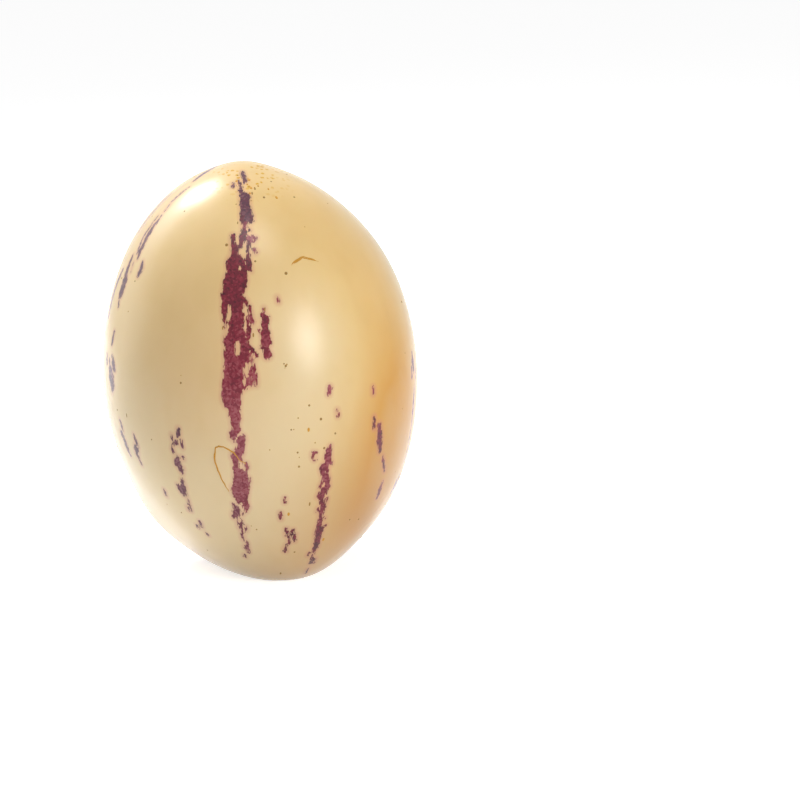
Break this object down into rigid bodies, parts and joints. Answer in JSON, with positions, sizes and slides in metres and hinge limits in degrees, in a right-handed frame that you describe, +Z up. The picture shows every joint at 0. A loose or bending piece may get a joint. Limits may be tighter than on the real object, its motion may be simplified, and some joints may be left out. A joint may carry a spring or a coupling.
{
  "type": "pepino melon",
  "caption": "Whole ripe pepino melon, an egg-shaped yellow fruit with purple stripes, standing on the shallow lobes round its stem end.",
  "frame": {"origin": "on the surface that the fruit rests on, under the middle of its bounding box", "axes": "+Z up the fruit from its stem end to its blossom tip, -Y towards the side with the broad stripe, and the tip leans towards -X"},
  "size_m": [0.072, 0.0726, 0.0942],
  "materials": {
    "skin": "waxy, satin fruit skin, cream yellow with purple stripes",
    "cork": "dry, matt, corky stalk tissue"
  },
  "bodies": {
    "root": {"fruit": "skin", "stalk_scar": "cork"}
  },
  "joints": []
}
